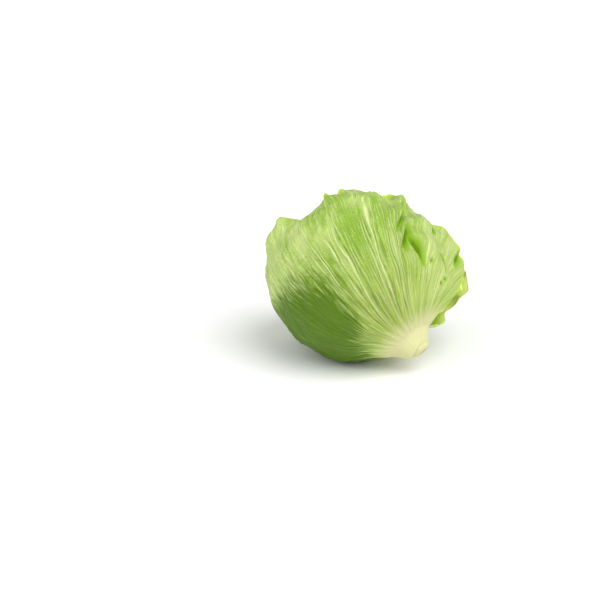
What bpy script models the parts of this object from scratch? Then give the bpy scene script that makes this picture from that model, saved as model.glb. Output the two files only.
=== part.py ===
"""A whole iceberg lettuce lying on its side, as picked: one cut stem, a dense heart of folded leaves and five
loose wrapper leaves. Metres, +Z up, standing on Z = 0, with the origin under the middle of its outline.

Every surface is worked out in the head's own polar coordinates: "tilt" is the angle from the stem end (0) over
the equator (90) to the crown (180), and "turn" is the angle round the stem. A leaf's veins fan out from its root,
each at its own "vein" angle, and the leaf ends where a formula for its outline says.
"""

import math

import bmesh
import bpy
import numpy as np
from mathutils import Matrix, Vector

MM = 0.001

# The compact head and how it lies: the stem points forward, right and down.
HEAD_CENTRE = np.array([-0.0078, -0.0040, 0.0742])
HEAD_SEMI_AXES = np.array([82.0, 79.0, 76.5]) * MM
STEM_HEADING = -44.2
STEM_DROP = 34.9
FAN_TWIST = 76.4

# The cut stem, a tapered cone, and the oblique cut across it.
STEM_RADIUS = 10.4 * MM
STEM_TOP_RADIUS = 6.5 * MM
STEM_TOP = 36.0 * MM
STEM_CUT = 88.0 * MM
CUT_SLANT = 26.0
CUT_TURN = 24.0
CUT_ROUNDING = 0.8 * MM
PLAY = 0.5 * MM

# The fleshy leaf roots swell out along the stem as a knob. Its middle lies at (tilt, turn), a little off the
# stem's line, and it rises between two angles from there, more on the side where the cut leaves the stem longer.
SWELL_MIDDLE = (2.0, -80.0)
SWELL_START, SWELL_END = 4.5, 16.5
SWELL_SLANT = 2.0 * MM

# Lobes and dimples of the whole head: (tilt, turn, height in mm, width in degrees).
HEAD_LOBES = (
    (166.0, 38.0, -18.0, 18.0), (160.0, 30.0, -6.5, 11.0), (155.0, -6.0, 14.0, 8.0), (145.0, -27.0, 10.0, 9.0),
    (128.0, -46.0, 3.0, 8.0), (125.0, 104.0, -16.0, 8.0), (112.0, 112.0, 3.5, 5.0), (86.0, 122.5, -12.5, 5.0),
    (79.0, 124.0, 2.0, 5.0), (66.0, 130.0, 2.0, 9.0), (60.0, 99.0, -3.0, 5.0), (52.0, 120.0, 2.0, 14.0),
    (28.0, -105.0, -8.0, 12.0), (30.0, -68.0, -3.0, 6.0), (16.0, -62.0, 4.0, 5.0), (80.0, 205.0, -2.5, 18.0),
    (110.0, 250.0, 2.0, 20.0), (120.0, 170.0, 2.5, 18.0),
)

# Shallow waves that run through all the layers: (height in mm, waves round the head).
CRUMPLE = ((0.7, 11.0), (0.6, 15.0), (0.5, 20.0), (0.4, 26.0))

# The deep pleat beside the head's top right: a steep wall at one vein and a gentle rise after the valley.
PLEAT_DEPTH = 8.0 * MM
PLEAT_WALL, PLEAT_WALL_WIDTH = 56.0, 6.5
PLEAT_RISE, PLEAT_RISE_WIDTH = 65.0, 17.0
PLEAT_START, PLEAT_END = 60.0, 114.0
PLEAT_LEAN = 8.0

# A leaf is thick and fleshy at its heel, where it leaves the stem, and thins within this many degrees of tilt.
BLADE = 1.0 * MM
HEEL_FADE = 38.0

LEAF_GREEN = (0.40, 0.62, 0.14)
HEART_GREEN = (0.62, 0.76, 0.28)
STEM_CREAM = (0.84, 0.80, 0.58)


def unit(vector):
    return vector / np.linalg.norm(vector)


def head_axes():
    """The stem's direction, and the two directions across it that turn 0 and turn 90 point along."""
    heading, drop = math.radians(STEM_HEADING), math.radians(STEM_DROP)
    stem = np.array([
        math.cos(drop) * math.cos(heading),
        math.cos(drop) * math.sin(heading),
        -math.sin(drop),
    ])
    up = unit(np.array([0.0, 0.0, 1.0]) + stem * math.sin(drop))
    side = np.cross(stem, up)
    twist = math.radians(FAN_TWIST)
    across = math.cos(twist) * up + math.sin(twist) * side
    return stem, across, np.cross(across, stem)


STEM, ACROSS, ASIDE = head_axes()


def direction(tilt, turn):
    """The unit vector from the head's centre towards (tilt, turn), both in degrees."""
    tilt, turn = np.radians(tilt)[..., None], np.radians(turn)[..., None]
    ring = np.cos(turn) * ACROSS + np.sin(turn) * ASIDE
    return np.cos(tilt) * STEM + np.sin(tilt) * ring


def smooth(x):
    """0 below 0, 1 above 1, and an S-shaped rise between."""
    x = np.clip(x, 0, 1)
    return x * x * (3 - 2 * x)


def bell(x):
    return np.exp(-(x**2))


def degrees_between(way, centre):
    return np.degrees(np.arccos(np.clip(way @ centre, -1, 1)))


def head_radius(way):
    """An ellipsoid's radius along each unit vector, raised or sunk by a bell-shaped bump at each lobe."""
    radius = 1 / np.sqrt(((way / HEAD_SEMI_AXES) ** 2).sum(-1))
    for tilt, turn, height, width in HEAD_LOBES:
        away = degrees_between(way, direction(np.array(tilt), np.array(turn)))
        radius = radius + height * MM * bell(away / width)
    random = np.random.default_rng(5)
    for height, count in CRUMPLE:
        ripple = unit(random.normal(size=3))
        radius = radius + height * MM * np.sin(way @ ripple * count + random.uniform(0, 6.3))
    return radius


def fan(tilt):
    """How far a vein has swung from the leaf's middle line: bunched at the root, bending outwards to the tip."""
    return 0.73 + 0.27 * (tilt / 59.0) ** 1.8


def pleat(tilt, turn):
    """The depth of the pleat, which follows the veins of the front leaf."""
    vein = ((turn + 180) % 360 - 180) / fan(tilt) - PLEAT_LEAN * smooth((tilt - 82) / 24)
    wall = smooth((vein - PLEAT_WALL) / PLEAT_WALL_WIDTH)
    rise = 1 - smooth((vein - PLEAT_RISE) / PLEAT_RISE_WIDTH)
    ends = smooth((tilt - PLEAT_START) / 18) * (1 - smooth((tilt - PLEAT_END + 18) / 18))
    return PLEAT_DEPTH * wall * rise * ends


def head_point(tilt, turn, layer, swell, lift):
    """A point of the head: layer 1 is its outer face, swell pushes out along the stem, lift along the radius."""
    way = direction(tilt, turn)
    middle = direction(*np.array(SWELL_MIDDLE))
    off_middle = np.degrees(np.arccos(np.clip(way @ middle, -1, 1)))
    bulb = 1 - smooth((off_middle - SWELL_START) / (SWELL_END - SWELL_START))
    slant = SWELL_SLANT * np.cos(np.radians(turn - CUT_TURN))
    outward = layer * (head_radius(way) - pleat(tilt, turn)) + lift
    return HEAD_CENTRE + outward[..., None] * way + ((swell + slant) * bulb)[..., None] * STEM


# Outermost first. turn is where the leaf's middle vein leaves the stem, reach how far its tip goes, low and high
# its outermost veins, and fall how its outline falls back to each side: (spread, power). flare lists where its
# rim bends outwards, or inwards where negative: (vein, width, height in mm).
WRAPPER_LEAVES = (
    dict(name="wrapper_leaf_front", turn=0.0, reach=158.0, low=-150.0, high=165.0, fall=((90.0, 2.2), (100.0, 3.2)),
         layer=1.0, swell=19.0, heel=3.2, root=9.8, columns=68, rows=26, ribs=14, seed=3, floor=0.0,
         flare=((31.0, 5.0, 3.0), (45.0, 6.0, 2.0), (62.0, 6.0, -6.0), (97.0, 4.0, -5.0), (101.0, 11.0, 3.0),
                (128.0, 16.0, 6.0), (-110.0, 30.0, 4.0)),
         waves=3.0, scallop=0.03),
    dict(name="wrapper_leaf_back", turn=222.0, reach=152.0, low=-77.0, high=130.0, fall=((54.0, 2.2), (85.0, 2.2)),
         layer=0.93, swell=16.5, heel=2.8, root=10.3, columns=42, rows=18, ribs=9, seed=11, floor=2.0,
         flare=((-77.0, 20.0, 20.0), (-40.0, 30.0, 6.0), (0.0, 30.0, 8.0), (40.0, 30.0, 6.0)),
         waves=4.0, scallop=0.05),
    dict(name="wrapper_leaf_right", turn=145.0, reach=166.0, low=-110.0, high=110.0, fall=((80.0, 2.2), (80.0, 2.2)),
         layer=0.872, swell=13.0, heel=2.2, root=10.9, columns=27, rows=13, ribs=6, seed=23, floor=4.0,
         flare=((0.0, 40.0, 5.0),),
         waves=4.0, scallop=0.05),
    dict(name="wrapper_leaf_under", turn=-80.0, reach=164.0, low=-110.0, high=110.0, fall=((80.0, 2.2), (80.0, 2.2)),
         layer=0.828, swell=12.0, heel=1.8, root=11.5, columns=27, rows=13, ribs=6, seed=31, floor=6.0,
         flare=((0.0, 40.0, 5.0),),
         waves=4.0, scallop=0.05),
    dict(name="wrapper_leaf_top", turn=50.0, reach=162.0, low=-110.0, high=110.0, fall=((80.0, 2.2), (80.0, 2.2)),
         layer=0.788, swell=11.0, heel=1.6, root=12.1, columns=27, rows=13, ribs=6, seed=47, floor=8.0,
         flare=((0.0, 40.0, 5.0),),
         waves=4.0, scallop=0.05),
)
WAIST, WAIST_START, WAIST_END = 0.14, 25.0, 60.0
UNDER_PAD = 1.5 * MM
UNDER_FADE = 7.0 * MM


def outline(leaf, vein):
    """The tilt at which the leaf ends along a vein."""
    (low_spread, low_power), (high_spread, high_power) = leaf["fall"]
    low_fall = (np.maximum(-vein, 0) / low_spread) ** low_power
    high_fall = (np.maximum(vein, 0) / high_spread) ** high_power
    return leaf["reach"] / (1 + low_fall + high_fall) ** 0.8


def waist(tilt):
    """How much the leaf's sides draw in towards its narrower root."""
    return WAIST * (1 - smooth((tilt - WAIST_START) / (WAIST_END - WAIST_START)))


def covered(tilt, turn, outer_leaves):
    """1 under any outer leaf and a little past its rim, falling to 0 clear of it."""
    size = HEAD_SEMI_AXES.mean()
    under = np.zeros_like(tilt)
    for leaf in outer_leaves:
        middle = (leaf["high"] + leaf["low"]) / 2 * fan(tilt)
        vein = ((turn - leaf["turn"] - middle + 180) % 360 - 180 + middle) / fan(tilt)
        side = np.maximum(vein - leaf["high"] * (1 - waist(tilt)), leaf["low"] * (1 - waist(tilt)) - vein)
        past_side = side * fan(tilt) * np.sin(np.radians(tilt))
        past_tip = tilt - outline(leaf, vein)
        past = np.radians(np.maximum(past_side, past_tip)) * size
        under = np.maximum(under, 1 - smooth((past - UNDER_PAD) / UNDER_FADE))
    return under


def leaf_surface(leaf, across, along, outer_leaves):
    """The leaf's outer face. across runs -1..1 from edge to edge and along 0..1 from the root to the outline."""
    middle = (leaf["high"] + leaf["low"]) / 2
    half = (leaf["high"] - leaf["low"]) / 2
    vein = middle + half * (0.7 * across + 0.3 * across**3)
    random = np.random.default_rng(leaf["seed"])
    scallop = np.zeros_like(across)
    wave = np.zeros_like(across)
    for share in (0.08, 0.13, 0.2):
        periods = leaf["columns"] * share
        wave += np.sin(np.pi * periods * across + random.uniform(0, 6.3)) * 0.08 / share
        scallop += np.sin(np.pi * periods * across + random.uniform(0, 6.3)) * 0.08 / share
    vein = vein * (1 + leaf["scallop"] * np.sin(along * 17 + random.uniform(0, 6.3)) * np.abs(across) ** 5)
    end = outline(leaf, vein) * (1 + leaf["scallop"] * scallop)
    tilt = leaf["root"] + (end - leaf["root"]) * along
    bound = np.where(vein < 0, -leaf["low"], leaf["high"])
    turn = leaf["turn"] + vein * (1 - waist(tilt) * (vein / bound) ** 2) * fan(tilt)

    size = HEAD_SEMI_AXES.mean()
    to_tip = np.radians(end - tilt) * size
    to_side = np.radians(half * 2 * (1 - np.abs(across))) * size * np.sin(np.radians(tilt))
    rim = bell(to_tip / (17 * MM))
    side = bell(to_side / (14 * MM)) * smooth((tilt - 22) / 10) * (0.5 + 0.5 * smooth((tilt - 39) / 15))
    edge = np.maximum(rim, side)
    ruffle = wave * rim + np.sin(np.radians(tilt) * 14 + random.uniform(0, 6.3)) * side
    flare = sum(height * MM * bell((vein - centre) / width) for centre, width, height in leaf["flare"])
    lift = flare * edge + leaf["waves"] * MM * (ruffle * 0.45 + 0.7 * edge)
    lift = lift * (1 - covered(tilt, turn, outer_leaves))

    ridge = 0.5 * np.cos(np.pi * leaf["ribs"] * across) + 0.8 * bell(vein / 8.0)
    lift = lift + ridge * MM * smooth((tilt - 17) / 15) * (1 - smooth((tilt - 30) / 90))
    points = head_point(tilt, turn, leaf["layer"], leaf["swell"] * MM, lift)
    points[..., 2] = np.maximum(points[..., 2], leaf["floor"] * MM)
    return points, tilt


def points_of(mesh):
    flat = np.empty(len(mesh.vertices) * 3, np.float32)
    mesh.vertices.foreach_get("co", flat)
    return flat.reshape(-1, 3).astype(float)


def move_points(mesh, points):
    mesh.vertices.foreach_set("co", points.astype(np.float32).ravel())
    mesh.update()


def give_finish(obj, colour, roughness):
    """Its own matt, waxy finish in the colour of the real piece."""
    finish = bpy.data.materials.new(obj.name + "_finish")
    finish.use_nodes = True
    shader = finish.node_tree.nodes["Principled BSDF"]
    shader.inputs["Base Color"].default_value = (*colour, 1)
    shader.inputs["Roughness"].default_value = roughness
    shader.inputs["Metallic"].default_value = 0.0
    obj.data.materials.append(finish)


def wrapper_leaf(leaf, outer_leaves):
    """A primitive grid bent into the leaf's outer face, then given its flesh: thick at the heel, thin at the rim."""
    bpy.ops.mesh.primitive_grid_add(x_subdivisions=leaf["columns"], y_subdivisions=leaf["rows"], size=2)
    blade = bpy.context.object
    blade.name = blade.data.name = leaf["name"]
    flat = points_of(blade.data)
    # Rows crowd towards the rim, where the leaf is waved.
    along = (flat[:, 1] + 1) / 2
    along = along * (1.35 - 0.35 * along)
    points, tilt = leaf_surface(leaf, flat[:, 0], along, outer_leaves)
    move_points(blade.data, points)
    heel = leaf["heel"] * MM
    flesh = blade.vertex_groups.new(name="flesh")
    thickness = BLADE + (heel - BLADE) * (1 - smooth((tilt - leaf["root"]) / HEEL_FADE))
    for index, share in enumerate(thickness / heel):
        flesh.add([index], float(share), "REPLACE")
    blade.modifiers.new("split", "TRIANGULATE")
    solid = blade.modifiers.new("flesh", "SOLIDIFY")
    solid.thickness = heel
    solid.offset = -1
    solid.vertex_group = "flesh"
    blade.data.shade_smooth()
    give_finish(blade, LEAF_GREEN, 0.45)
    return blade


# The heart's folded leaves: each is a round leaf lying on the ones before it, (tilt, turn) of its middle and its
# width in degrees. Their rims cross over the crown as low waved steps.
HEART_LAYER = 0.699
HEART_LEAVES = (
    (92.0, 300.0, 92.0),
    (98.0, 75.0, 96.0),
    (96.0, 190.0, 93.0),
    (104.0, 335.0, 88.0),
    (108.0, 120.0, 84.0),
)
HEART_STEP = 1.1 * MM
HEART_RIM = 3.0


def heart_surface(tilt, turn):
    """The heart's face: one step up under every folded leaf, with a waved rim."""
    way = direction(tilt, turn)
    lift = np.zeros_like(tilt)
    for number, (middle_tilt, middle_turn, width) in enumerate(HEART_LEAVES):
        middle = direction(np.array(middle_tilt), np.array(middle_turn))
        round_leaf = np.radians(turn - middle_turn) * 3 + number
        rim = width + 4 * np.sin(round_leaf * 3) + 2 * np.sin(round_leaf * 7 + 1)
        inside = smooth((rim - degrees_between(way, middle)) / HEART_RIM + 0.5)
        lift += HEART_STEP * inside
    return head_point(tilt, turn, HEART_LAYER, 0.0, lift - HEART_STEP)


def folded_heart():
    """The dense head inside the wrapper leaves, with the rims of its own leaves as steps round the crown."""
    bpy.ops.mesh.primitive_uv_sphere_add(segments=36, ring_count=20, radius=1)
    ball = bpy.context.object
    ball.name = ball.data.name = "folded_heart"
    flat = points_of(ball.data)
    tilt = np.degrees(np.arccos(np.clip(-flat[:, 2], -1, 1)))
    # Rings crowd towards the crown, where the rims cross.
    tilt = 180 * (1 - (1 - tilt / 180) ** 1.25)
    turn = np.degrees(np.arctan2(flat[:, 1], flat[:, 0]))
    move_points(ball.data, heart_surface(tilt, turn))
    ball.data.shade_smooth()
    give_finish(ball, HEART_GREEN, 0.45)
    return ball


def stem_cone(name, grow):
    """The stem's cone, from its top inside the heart out past the cut, its radius grown by a margin."""
    length = STEM_CUT + 3 * STEM_RADIUS - STEM_TOP
    slope = (STEM_RADIUS - STEM_TOP_RADIUS) / (STEM_CUT - STEM_TOP)
    bpy.ops.mesh.primitive_cone_add(
        vertices=32, radius1=STEM_TOP_RADIUS + grow, radius2=STEM_TOP_RADIUS + slope * length + grow, depth=length
    )
    cone = bpy.context.object
    cone.name = cone.data.name = name
    along = Matrix.Translation(Vector(HEAD_CENTRE + STEM * (STEM_TOP - grow + length / 2)))
    cone.data.transform(along @ Vector(STEM).to_track_quat("Z", "Y").to_matrix().to_4x4())
    return cone


def cut_stem():
    """The stem, cut across obliquely, with a slightly rounded rim."""
    stem = stem_cone("cut_stem", 0.0)
    lean = direction(np.array(CUT_SLANT), np.array(CUT_TURN + 180))
    shape = bmesh.new()
    shape.from_mesh(stem.data)
    sliced = bmesh.ops.bisect_plane(
        shape,
        geom=shape.verts[:] + shape.edges[:] + shape.faces[:],
        plane_co=Vector(HEAD_CENTRE + STEM * STEM_CUT),
        plane_no=Vector(lean),
        clear_outer=True,
    )
    rim = [piece for piece in sliced["geom_cut"] if isinstance(piece, bmesh.types.BMEdge)]
    bmesh.ops.contextual_create(shape, geom=rim)
    bmesh.ops.recalc_face_normals(shape, faces=shape.faces[:])
    shape.to_mesh(stem.data)
    shape.free()
    rounding = stem.modifiers.new("rim", "BEVEL")
    rounding.width = CUT_ROUNDING
    rounding.segments = 2
    rounding.limit_method = "ANGLE"
    rounding.angle_limit = math.radians(40)
    stem.data.shade_smooth()
    stem.data.set_sharp_from_angle(angle=math.radians(40))
    give_finish(stem, STEM_CREAM, 0.55)
    return stem


def collection(name):
    made = bpy.data.collections.new(name)
    bpy.context.scene.collection.children.link(made)
    return made


def put_in(obj, home):
    for old in list(obj.users_collection):
        old.objects.unlink(obj)
    home.objects.link(obj)


def main():
    for obj in list(bpy.data.objects):
        bpy.data.objects.remove(obj)
    lettuce = collection("iceberg_lettuce")
    cutters = collection("cutters")
    for number, leaf in enumerate(WRAPPER_LEAVES):
        put_in(wrapper_leaf(leaf, WRAPPER_LEAVES[:number]), lettuce)
    heart = folded_heart()
    put_in(heart, lettuce)
    put_in(cut_stem(), lettuce)
    socket = stem_cone("stem_socket", PLAY)
    socket.hide_render = True
    socket.display_type = "WIRE"
    put_in(socket, cutters)
    seat = heart.modifiers.new("stem_socket", "BOOLEAN")
    seat.object = socket
    seat.operation = "DIFFERENCE"
    seat.solver = "EXACT"


main()
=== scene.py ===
import math

import bpy
import numpy as np
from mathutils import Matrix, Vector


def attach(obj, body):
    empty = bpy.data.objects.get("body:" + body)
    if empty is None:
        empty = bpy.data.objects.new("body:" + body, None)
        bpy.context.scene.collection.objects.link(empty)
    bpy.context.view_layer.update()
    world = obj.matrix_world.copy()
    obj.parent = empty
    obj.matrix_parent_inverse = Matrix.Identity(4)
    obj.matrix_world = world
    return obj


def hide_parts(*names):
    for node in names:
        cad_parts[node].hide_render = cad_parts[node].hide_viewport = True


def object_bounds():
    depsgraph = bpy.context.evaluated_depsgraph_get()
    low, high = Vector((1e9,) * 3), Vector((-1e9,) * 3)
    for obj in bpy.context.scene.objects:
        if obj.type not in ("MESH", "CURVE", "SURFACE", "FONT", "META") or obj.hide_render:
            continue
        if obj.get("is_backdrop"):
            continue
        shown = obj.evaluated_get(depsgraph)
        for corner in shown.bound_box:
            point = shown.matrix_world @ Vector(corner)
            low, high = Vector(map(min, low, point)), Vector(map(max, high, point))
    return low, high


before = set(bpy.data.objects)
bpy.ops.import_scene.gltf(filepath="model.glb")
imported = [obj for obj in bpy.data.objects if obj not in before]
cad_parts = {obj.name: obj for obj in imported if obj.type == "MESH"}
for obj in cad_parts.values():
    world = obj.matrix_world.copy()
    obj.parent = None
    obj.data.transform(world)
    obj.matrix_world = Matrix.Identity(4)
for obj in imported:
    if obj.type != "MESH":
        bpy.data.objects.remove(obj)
cad_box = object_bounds()

# The camera. It looks straight along +Y from 20 degrees above the table, and is aimed left of the head and
# below it, so that the head lies where it does in the picture, right of the middle.
HEAD_CENTRE = np.array([-0.0078, -0.0040, 0.0742])
CAMERA_RISE = math.radians(20)
CAMERA_DISTANCE = 1.3
PICTURE_WIDTH = 0.54
AIM_LEFT, AIM_DOWN = 0.054, 0.0216
SENSOR = 36.0

back = np.array([0, -math.cos(CAMERA_RISE), math.sin(CAMERA_RISE)])
picture_up = np.array([0, math.sin(CAMERA_RISE), math.cos(CAMERA_RISE)])
aim = HEAD_CENTRE - AIM_LEFT * np.array([1, 0, 0]) - AIM_DOWN * picture_up
camera = bpy.data.objects.new("camera", bpy.data.cameras.new("camera"))
bpy.context.scene.collection.objects.link(camera)
camera.data.sensor_width = SENSOR
camera.data.lens = SENSOR * CAMERA_DISTANCE / PICTURE_WIDTH
camera.location = aim + back * CAMERA_DISTANCE
camera.rotation_euler = (math.pi / 2 - CAMERA_RISE, 0, 0)
bpy.context.scene.camera = camera


# The stem. A lettuce is cut from its root with a knife, a little askew, and the pale stump dries on its cut
# face. It is one solid cone that runs up into the heart, rounded off round the cut, and scars of picked-off
# leaves ring its side.
# Lengths are in metres and angles in degrees. The stem points to STEM_HEADING, STEM_DROP below the horizon, and
# turns round it count from the front leaf's middle, FAN_TWIST away from its highest side.
MM = 0.001
STEM_HEADING = -44.2
STEM_DROP = 34.9
FAN_TWIST = 76.4
STEM_RADIUS = 10.2 * MM
STEM_TOP_RADIUS = 6.5 * MM
STEM_TOP = 36.0 * MM
STEM_CUT = 91.5 * MM
CUT_SLANT = 6.0
CUT_TURN = 10.0
CUT_ROUNDING = 6.0 * MM
CUT_HOLLOW = 0.7 * MM
SCAR_DEPTH = 0.5 * MM
SCAR_SPACING = 3.4 * MM
SCARS_END = 0.85
SCAR_SWAY, SCAR_SHARPNESS = 1.2, 8
# The waves of the stem's side as (share of its radius, waves round it, phase in radians).
STEM_WAVES = ((0.02, 5, 1), (0.015, 9, 4))
STEM_COLUMNS, STEM_SIDE_ROWS, STEM_CUT_ROWS = 160, 70, 30
STEM_SPOT_SCALE, STEM_CLOUD_SCALE = 420.0, 130.0
CUT_RINGS = 34.0
CREAM = (0.62, 0.61, 0.32)
CUT_CREAM = (0.66, 0.60, 0.34)
CUT_BROWN = (0.33, 0.20, 0.07)
STEM_GREEN = (0.42, 0.55, 0.12)
POLE_GAP = 0.01 * MM
GLOSS = 0.12
SCATTER_COLOURS = (1.0, 1.0, 0.3)
SCATTER_DEPTH = 2.5 * MM


class Wire:
    """A socket of a material. + - * / on it add Math nodes, and node() adds any other node."""

    def __init__(self, tree, socket=None):
        self.tree = tree
        self.socket = socket

    def node(self, kind, settings, inputs, output=0):
        made = self.tree.nodes.new(kind)
        for name, value in settings.items():
            setattr(made, name, value)
        for name, value in inputs.items():
            if isinstance(value, Wire):
                self.tree.links.new(made.inputs[name], value.socket)
            else:
                made.inputs[name].default_value = value
        return Wire(self.tree, made.outputs[output])

    def maths(self, operation, *values):
        return self.node("ShaderNodeMath", {"operation": operation}, dict(enumerate(values)))

    def __add__(self, other):
        return self.maths("ADD", self, other)

    def __sub__(self, other):
        return self.maths("SUBTRACT", self, other)

    def __mul__(self, other):
        return self.maths("MULTIPLY", self, other)

    def __truediv__(self, other):
        return self.maths("DIVIDE", self, other)

    def __rsub__(self, other):
        return self.maths("SUBTRACT", other, self)

    __radd__ = __add__
    __rmul__ = __mul__


def floor(x):
    return x.maths("FLOOR", x) if isinstance(x, Wire) else np.floor(x)


def most(x, y):
    return x.maths("MAXIMUM", x, y) if isinstance(x, Wire) else np.maximum(x, y)


def smooth(x):
    """0 below 0, 1 above 1, and an S-shaped rise between."""
    x = x.maths("MINIMUM", x.maths("MAXIMUM", x, 0.0), 1.0) if isinstance(x, Wire) else np.clip(x, 0, 1)
    return x * x * (3 - 2 * x)


def rise(x, start, length):
    """0 up to start, 1 from length past it, and an S-shaped rise between."""
    return smooth((x - start) / length)


def fade(x, start, length):
    """1 up to start, 0 from length past it, and an S-shaped fall between."""
    return 1 - rise(x, start, length)


def bell(x):
    """1 at 0, falling to nothing past 2 on each side."""
    return x.maths("EXPONENT", x * x * -1.0) if isinstance(x, Wire) else np.exp(-(x**2))


def direction(tilt, turn):
    """The unit vector from the head's middle: tilt degrees away from the stem, turn degrees round it."""
    tilt, turn = np.radians(tilt)[..., None], np.radians(turn)[..., None]
    return np.cos(tilt) * STEM + np.sin(tilt) * (np.cos(turn) * ACROSS + np.sin(turn) * ASIDE)


def unit(vector):
    return vector / np.linalg.norm(vector)


def head_axes():
    """The stem's direction, and the two directions across it that turn 0 and turn 90 point along."""
    heading, drop, twist = (math.radians(angle) for angle in (STEM_HEADING, STEM_DROP, FAN_TWIST))
    stem = np.array([math.cos(drop) * math.cos(heading), math.cos(drop) * math.sin(heading), -math.sin(drop)])
    up = unit(np.array([0.0, 0.0, 1.0]) + stem * math.sin(drop))
    across = math.cos(twist) * up + math.sin(twist) * np.cross(stem, up)
    return stem, across, np.cross(across, stem)


STEM, ACROSS, ASIDE = head_axes()


def new_piece(name, points, quads, numbers, finish):
    """A smooth-shaded mesh of four-cornered faces. numbers holds one number a point under each name."""
    mesh = bpy.data.meshes.new(name)
    mesh.from_pydata(points.reshape(-1, 3), [], quads)
    for key, values in numbers.items():
        layer = mesh.attributes.new(key, "FLOAT", "POINT")
        layer.data.foreach_set("value", np.asarray(values, np.float32).ravel())
    mesh.shade_smooth()
    mesh.materials.append(finish)
    piece = bpy.data.objects.new(name, mesh)
    bpy.context.scene.collection.objects.link(piece)
    return piece


def turned_quads(rows, columns):
    """The faces between a form's rings of points. The first and last rings are closed poles."""
    ring, place = np.mgrid[0 : rows - 1, 0:columns]
    after = (place + 1) % columns
    quads = np.stack([ring, ring, ring + 1, ring + 1], -1) * columns
    return (quads + np.stack([place, after, after, place], -1)).reshape(-1, 4)


def turned_piece(name, points, numbers, finish):
    """A turned form whose first and last rings shrink to one place each, with their points joined into one."""
    piece = new_piece(name, points, turned_quads(*points.shape[:2]), numbers, finish)
    weld = piece.modifiers.new("poles", "WELD")
    weld.merge_threshold = POLE_GAP
    return piece


def new_finish(name):
    """An empty node material, and the wire that its nodes are added through."""
    finish = bpy.data.materials.new(name)
    finish.use_nodes = True
    return finish, Wire(finish.node_tree)


def number_of(wire, name):
    return wire.node("ShaderNodeAttribute", {"attribute_name": name}, {}, "Fac")


def place_of(wire):
    return wire.node("ShaderNodeTexCoord", {}, {}, "Object")


def grain(wire, place, scale, detail=3.0, roughness=0.55):
    """Smooth noise, 0 to 1 with most of it near 0.5."""
    values = {"Vector": place, "Scale": scale, "Detail": detail, "Roughness": roughness}
    return wire.node("ShaderNodeTexNoise", {}, values)


def blend(first, second, share):
    """first where share is 0 and second where it is 1. Either is a colour or a wire that carries one."""
    pair = [value if isinstance(value, Wire) else (*value, 1) for value in (first, second)]
    return share.node("ShaderNodeMix", {"data_type": "RGBA"}, {0: share, 6: pair[0], 7: pair[1]}, 2)


def finish_surface(finish, colour, roughness, relief, relief_depth, subsurface):
    """Feeds the material's own shader with colour, roughness and a bump, relief_depth deep where relief is 1.

    subsurface is the share of the light that enters the flesh and comes out again near by.
    """
    tree = finish.node_tree
    shader = tree.nodes["Principled BSDF"]
    tree.links.new(shader.inputs["Base Color"], colour.socket)
    tree.links.new(shader.inputs["Roughness"], roughness.socket)
    bump = relief.node("ShaderNodeBump", {}, {"Height": relief, "Distance": relief_depth})
    tree.links.new(shader.inputs["Normal"], bump.socket)
    shader.inputs["Specular IOR Level"].default_value = GLOSS
    shader.inputs["Subsurface Weight"].default_value = subsurface
    shader.inputs["Subsurface Radius"].default_value = SCATTER_COLOURS
    shader.inputs["Subsurface Scale"].default_value = SCATTER_DEPTH


def stem_points():
    """The profile runs from the stem's top inside the heart down its side, and over the cut to its middle.

    Each ring's radius grows evenly down the cone and is rounded off as a quarter circle before the cut. The
    rings lean more and more to the slant of the cut. Scars are shallow waved rings on the side.
    """
    turn = np.arange(STEM_COLUMNS) * 360.0 / STEM_COLUMNS
    side = np.sin(np.linspace(0, math.pi / 2, STEM_SIDE_ROWS))
    down = np.concatenate([[0, 0], side, np.ones(STEM_CUT_ROWS)])
    inward = np.concatenate([[1, 0.1], np.zeros(STEM_SIDE_ROWS), np.linspace(0, 1, STEM_CUT_ROWS) ** 0.7])
    down, inward, turn = down[:, None], inward[:, None], turn[None, :]
    waved = 1 + sum(share * np.sin(np.radians(turn) * count + phase) for share, count, phase in STEM_WAVES)
    to_rim = (1 - down) * (STEM_CUT - STEM_TOP) / CUT_ROUNDING
    rounded = CUT_ROUNDING * (1 - np.sqrt(1 - np.clip(1 - to_rim, 0, 1) ** 2))
    radius = ((STEM_TOP_RADIUS + (STEM_RADIUS - STEM_TOP_RADIUS) * down) * waved - rounded) * (1 - inward)
    lean = radius * math.tan(math.radians(CUT_SLANT)) * np.cos(np.radians(turn - CUT_TURN))
    along = STEM_TOP + (STEM_CUT - STEM_TOP + lean) * down
    sway = SCAR_SWAY * np.sin(np.radians(turn) * 3)
    scar = np.cos(2 * math.pi * along / SCAR_SPACING + sway) ** SCAR_SHARPNESS
    radius = radius - SCAR_DEPTH * scar * (inward == 0) * (down < SCARS_END)
    hollow = CUT_HOLLOW * smooth(inward * 2.5) * (down == 1)
    ring = np.cos(np.radians(turn))[..., None] * ACROSS + np.sin(np.radians(turn))[..., None] * ASIDE
    points = HEAD_CENTRE + radius[..., None] * ring + (along - hollow)[..., None] * STEM
    inward, down = np.broadcast_to(inward, radius.shape), np.broadcast_to(down, radius.shape)
    return points, {"inward": inward * (down == 1), "down": down}


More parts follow.
